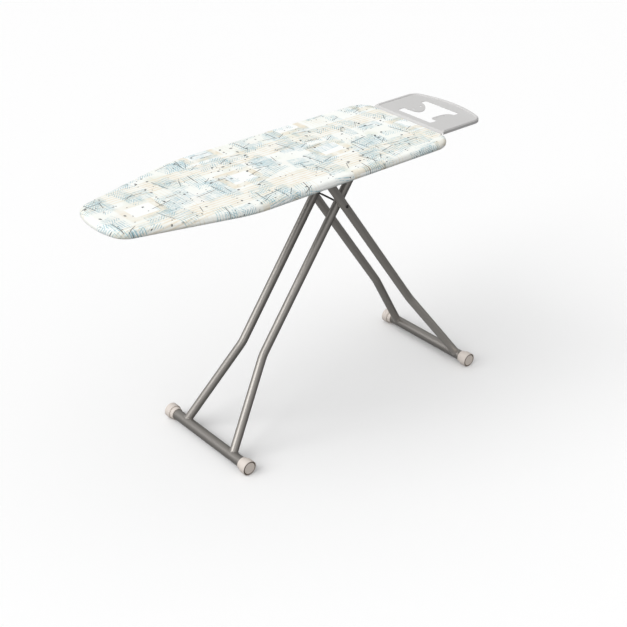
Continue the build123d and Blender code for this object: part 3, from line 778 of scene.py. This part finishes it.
def soften(points, amount):
    """Slack of the cloth over the pad: shallow swells, and creases near the edge."""
    for index, point in enumerate(points):
        if point.z < cover_high.z - TOP_ROUND:
            continue
        swell = noise.fractal(Vector((point.x * 7, point.y * 9, 1.0)), 0.9, 2.2, 3)
        crease = noise.noise(Vector((point.x * 34, point.y * 11, 4.0)))
        near_edge = smooth_step(abs(point.y) / cover_high.y, 0.72, 0.98)
        lift = 0.5 + 0.5 * swell + near_edge * 0.6 * crease
        point.z += amount * max(lift, 0.0)


cover_points, cover_faces, cover_flat, cover_hem, cover_run = make_cover()
soften(cover_points, SHAPED_SWELL)
cover = new_piece("cover_cloth", cover_points, cover_faces, "board", cover_cotton())
flat_attribute = cover.data.attributes.new("flat_place", "FLOAT_VECTOR", "POINT")
flat_attribute.data.foreach_set("vector", [part for point in cover_flat for part in point])
for attribute_name, values in (("hem_place", cover_hem), ("edge_run", cover_run)):
    attribute = cover.data.attributes.new(attribute_name, "FLOAT", "POINT")
    attribute.data.foreach_set("value", values)


def join_middle(piece):
    """Joins the points where the innermost ring meets itself, and turns all faces outwards."""
    shape = bmesh.new()
    shape.from_mesh(piece.data)
    bmesh.ops.remove_doubles(shape, verts=shape.verts, dist=JOIN_DISTANCE)
    bmesh.ops.recalc_face_normals(shape, faces=shape.faces)
    highest = max(shape.faces, key=lambda face: face.calc_center_median().z)
    if highest.normal.z < 0:
        bmesh.ops.reverse_faces(shape, faces=shape.faces)
    shape.to_mesh(piece.data)
    shape.free()


def settle(piece):
    """Cloth simulation: the cover swells off the pad while its hem and slot edge are held."""
    rest_points = [vertex.co.copy() for vertex in piece.data.vertices]
    held = piece.vertex_groups.new(name="held")
    side_top = cover_high.z - TOP_ROUND
    for index, point in enumerate(rest_points):
        by_slot = (point.x > cover_high.x - SLOT_INSET - HELD_MARGIN
                   and abs(point.y) < SLOT_HALF + HELD_MARGIN)
        held.add([index], 1.0 if by_slot or point.z < side_top + 0.002 else 0.0, "REPLACE")
    cloth = add_modifier(piece, "CLOTH")
    cloth.settings.quality = 4
    cloth.settings.mass = 0.15
    cloth.settings.vertex_group_mass = held.name
    cloth.settings.tension_stiffness = 12
    cloth.settings.compression_stiffness = 12
    cloth.settings.bending_stiffness = 0.4
    cloth.settings.shrink_min = -SLACK
    cloth.settings.use_pressure = True
    cloth.settings.uniform_pressure_force = 1.5
    cloth.settings.effector_weights.gravity = 0
    cloth.point_cache.frame_start = 1
    cloth.point_cache.frame_end = SETTLE_FRAMES
    for frame_number in range(1, SETTLE_FRAMES + 1):
        scene.frame_set(frame_number)
    graph = bpy.context.evaluated_depsgraph_get()
    settled = [vertex.co.copy() for vertex in piece.evaluated_get(graph).data.vertices]
    piece.modifiers.remove(cloth)
    scene.frame_set(1)
    for vertex, before, after in zip(piece.data.vertices, rest_points, settled):
        move = after - before
        move.z = min(max(move.z, 0.0), SWELL) if before.z > side_top else 0.0
        flat_move = Vector((move.x, move.y, 0))
        if flat_move.length > SWELL:
            flat_move *= SWELL / flat_move.length
        vertex.co = before + flat_move + Vector((0, 0, move.z))


join_middle(cover)
settle(cover)
add_modifier(cover, "SOLIDIFY", thickness=CLOTH, offset=-1.0)
add_modifier(cover, "SUBSURF", levels=1, render_levels=1)
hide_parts("cover")


def flat_area(ring):
    """Area inside a closed ring in plan."""
    return abs(sum(a.x * b.y - b.x * a.y for a, b in zip(ring, ring[1:] + ring[:1]))) / 2


cut_points = cover_flat[-len(edge_points):]     # the last ring is the hem's raw edge

# ---------------------------------------------------------------- felt pad
PAD_RINGS = 22
PAD_SPINE = 0.19                       # as TOP_SPINE, for the pad
PAD_RIM = 0.0125                       # the flat rings stop this far inside the pad's edge
PAD_DENT = 0.0003
PAD_EDGE = ((0.0092, 1.0), (0.0060, 0.93), (0.0032, 0.74), (0.0012, 0.50),
            (0.0004, 0.33), (0.0004, 0.10), (0.0030, 0.0))    # inset, share of the thickness


def make_pad():
    """The felt under the cover: cut from a sheet, its edge crushed round, dented on top."""
    level = (pad_low.z + pad_high.z) / 2 - 0.001
    edges = outline_of(node_surface("felt_pad"), pad_low, pad_high, level)
    outline = list(zip(edges, outward(edges)))
    points = []

    def add_flat_ring(share, height, dent):
        for edge, normal in outline:
            spine = spine_point(edge, pad_low, pad_high, PAD_SPINE)
            rim = edge - normal * PAD_RIM
            place = spine.lerp(Vector((rim.x, rim.y, 0)), share)
            rough = abs(dent * noise.noise(Vector((place.x * 30, place.y * 30, 2.0))))
            points.append(Vector((place.x, place.y, height - rough)))

    shares = [index / PAD_RINGS for index in range(PAD_RINGS)]
    for share in shares:
        add_flat_ring(share, pad_high.z, PAD_DENT)
    for inset, share in PAD_EDGE:
        for edge, normal in outline:
            place = edge - normal * inset
            height = pad_low.z + (pad_high.z - pad_low.z) * share
            points.append(Vector((place.x, place.y, height)))
    for share in reversed(shares):
        add_flat_ring(share, pad_low.z, 0.0)
    return points, ring_faces(len(points), len(outline))


pad_points, pad_faces = make_pad()
pad = new_piece("felt_pad_soft", pad_points, pad_faces, "board", finishes["felt"])
join_middle(pad)
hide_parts("felt_pad")
flat_area(cut_points)

# ---------------------------------------------------------------- welds
LEG_RADIUS = 0.014
WELD = 0.0021                          # half the width of a bead
WELD_STEPS = 72
WELD_SIDES = 8
LEG_LOW = 0.03                         # levels above the foot tube where a leg is measured
LEG_HIGH = 0.13


def slice_middle(name, height):
    """Middle of a tube where a level plane cuts it, in the pose at rest."""
    shape = bmesh.new()
    shape.from_mesh(nodes[name].data)
    cut = bmesh.ops.bisect_plane(shape, geom=shape.verts[:] + shape.edges[:] + shape.faces[:],
                                 plane_co=(0, 0, height), plane_no=(0, 0, 1))["geom_cut"]
    points = [item.co.copy() for item in cut if isinstance(item, bmesh.types.BMVert)]
    shape.free()
    low = Vector([min(point[axis] for point in points) for axis in range(3)])
    high = Vector([max(point[axis] for point in points) for axis in range(3)])
    return (low + high) / 2


def weld_path(start, way, radius, main_point, main_way, main_radius):
    """The closed line where one round tube runs out of a thicker one, along way."""
    side = way.orthogonal().normalized()
    other = way.cross(side)
    path = []
    for step in range(WELD_STEPS):
        turn = 2 * math.pi * step / WELD_STEPS
        base = start + (side * math.cos(turn) + other * math.sin(turn)) * radius
        across_base = (base - main_point) - main_way * (base - main_point).dot(main_way)
        across_way = way - main_way * way.dot(main_way)
        a = across_way.length_squared
        b = across_base.dot(across_way)
        c = across_base.length_squared - main_radius ** 2
        path.append(base + way * ((-b + math.sqrt(max(b * b - a * c, 0.0))) / a))
    return path


def bead(points, faces, path, away):
    """A rippled round bead laid along a closed path; away is where its crown points."""
    first = len(points)
    count = len(path)
    for step, place in enumerate(path):
        along = (path[(step + 1) % count] - path[step - 1]).normalized()
        crown = (away(place) - along * away(place).dot(along)).normalized()
        flank = along.cross(crown)
        ripple = 1 + 0.16 * math.sin(step * 2.1) + 0.12 * noise.noise(place * 400)
        for corner in range(WELD_SIDES):
            turn = 2 * math.pi * corner / WELD_SIDES
            offset = crown * (0.62 * math.cos(turn)) + flank * math.sin(turn)
            points.append(place + offset * WELD * ripple)
    for step in range(count):
        for corner in range(WELD_SIDES):
            after = (step + 1) % count
            next_corner = (corner + 1) % WELD_SIDES
            faces.append((first + step * WELD_SIDES + corner, first + after * WELD_SIDES + corner,
                          first + after * WELD_SIDES + next_corner,
                          first + step * WELD_SIDES + next_corner))


def turn_outwards(piece):
    """Turns every face of a closed piece outwards."""
    shape = bmesh.new()
    shape.from_mesh(piece.data)
    bmesh.ops.recalc_face_normals(shape, faces=shape.faces)
    shape.to_mesh(piece.data)
    shape.free()


def make_welds(frame_name):
    """Beads where both legs of a frame meet its foot tube."""
    points = []
    faces = []
    foot_low, foot_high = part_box(f"{frame_name}_foot_tube")
    foot_middle = (foot_low + foot_high) / 2
    foot_radius = (foot_high.z - foot_low.z) / 2
    foot_way = Vector((0, 1, 0))

    def from_foot(place):
        return Vector((place.x - foot_middle.x, 0, place.z - foot_middle.z))

    for side_name in ("near", "far"):
        leg = f"{frame_name}_leg_tube_{side_name}"
        lower = slice_middle(leg, foot_high.z + LEG_LOW)
        upper = slice_middle(leg, foot_high.z + LEG_HIGH)
        leg_way = (upper - lower).normalized()
        start = lower - leg_way * LEG_LOW
        path = weld_path(start, leg_way, LEG_RADIUS, foot_middle, foot_way, foot_radius)
        bead(points, faces, path, from_foot)
    piece = new_piece(f"{frame_name}_weld_beads", points, faces, f"{frame_name}_leg",
                      finishes["leg_paint"])
    turn_outwards(piece)


for frame_name in ("nose", "rest"):
    make_welds(frame_name)


# ---------------------------------------------------------------- floor and light
FLOOR_HALF = 30.0
KEY_FROM = (-0.74, 0.12, 0.66)
KEY_STRENGTH = 1.55
KEY_SPREAD = 50                        # degrees across, for soft shadows
FILL_PLACE = (-2.4, -3.2, 1.0)
FILL_TARGET = (0.0, 0.0, 0.6)
FILL_SIZE = 1.2
FILL_WATTS = 6
OVERHEAD_LIGHT = 0.44                  # strengths that add up to the surroundings
SIDE_LIGHT = 0.20
LOW_LIGHT = 0.18
LESS_TO_THE_REST = -0.16


def make_floor():
    """A plain pale sheet that takes shadows and sends no light back to the object."""
    paper = Shader("floor", (0.97, 0.97, 0.97), 0.9)
    grain = paper.noise(paper.place(), 3, 2, 0.5)
    paper.paint(grain * 0.1, (0.94, 0.94, 0.94))
    mesh = bpy.data.meshes.new("floor")
    corners = [(x * FLOOR_HALF, y * FLOOR_HALF, 0) for x, y in ((-1, -1), (1, -1), (1, 1), (-1, 1))]
    mesh.from_pydata(corners, [], [(0, 1, 2, 3)])
    mesh.materials.append(paper.done())
    floor = bpy.data.objects.new("floor", mesh)
    scene.collection.objects.link(floor)
    floor.visible_diffuse = False
    floor.visible_glossy = False


def place_light(name, lamp, place, turn):
    """Puts a lamp in the scene; turn points it."""
    light = bpy.data.objects.new(name, lamp)
    light.location = place
    light.rotation_mode = "QUATERNION"
    light.rotation_quaternion = turn
    scene.collection.objects.link(light)


def make_key():
    """A broad lamp so far away that the floor is lit evenly."""
    lamp = bpy.data.lights.new("key", "SUN")
    lamp.energy = KEY_STRENGTH
    lamp.angle = math.radians(KEY_SPREAD)
    place_light("key", lamp, (0, 0, 0), Vector(KEY_FROM).to_track_quat("Z", "Y"))


def make_fill():
    """A small weak lamp on the camera's side."""
    lamp = bpy.data.lights.new("fill", "AREA")
    lamp.shape = "DISK"
    lamp.size = FILL_SIZE
    lamp.energy = FILL_WATTS
    way = Vector(FILL_TARGET) - Vector(FILL_PLACE)
    place_light("fill", lamp, FILL_PLACE, way.to_track_quat("-Z", "Y"))


def make_world():
    """Soft studio surroundings: brightest overhead, a little darker behind the iron rest."""
    world = bpy.data.worlds.new("studio")
    world.use_nodes = True
    tree = world.node_tree
    coordinates = tree.nodes.new("ShaderNodeTexCoord")
    ways = tree.nodes.new("ShaderNodeSeparateXYZ")
    tree.links.new(coordinates.outputs["Generated"], ways.inputs[0])
    way_x, _, way_z = [Sum(tree, socket) for socket in ways.outputs]
    background = tree.nodes["Background"]
    background.inputs["Color"].default_value = (1.0, 1.0, 1.0, 1)
    overhead = way_z.rise(-0.1, 1.0) * OVERHEAD_LIGHT
    sides = way_z.rise(-0.5, 0.05) * SIDE_LIGHT
    strength = overhead + sides + LOW_LIGHT + way_x * LESS_TO_THE_REST
    feed(tree, background.inputs["Strength"], strength)
    scene.world = world


make_floor()
make_world()
make_key()
make_fill()
scene.view_settings.view_transform = "Standard"
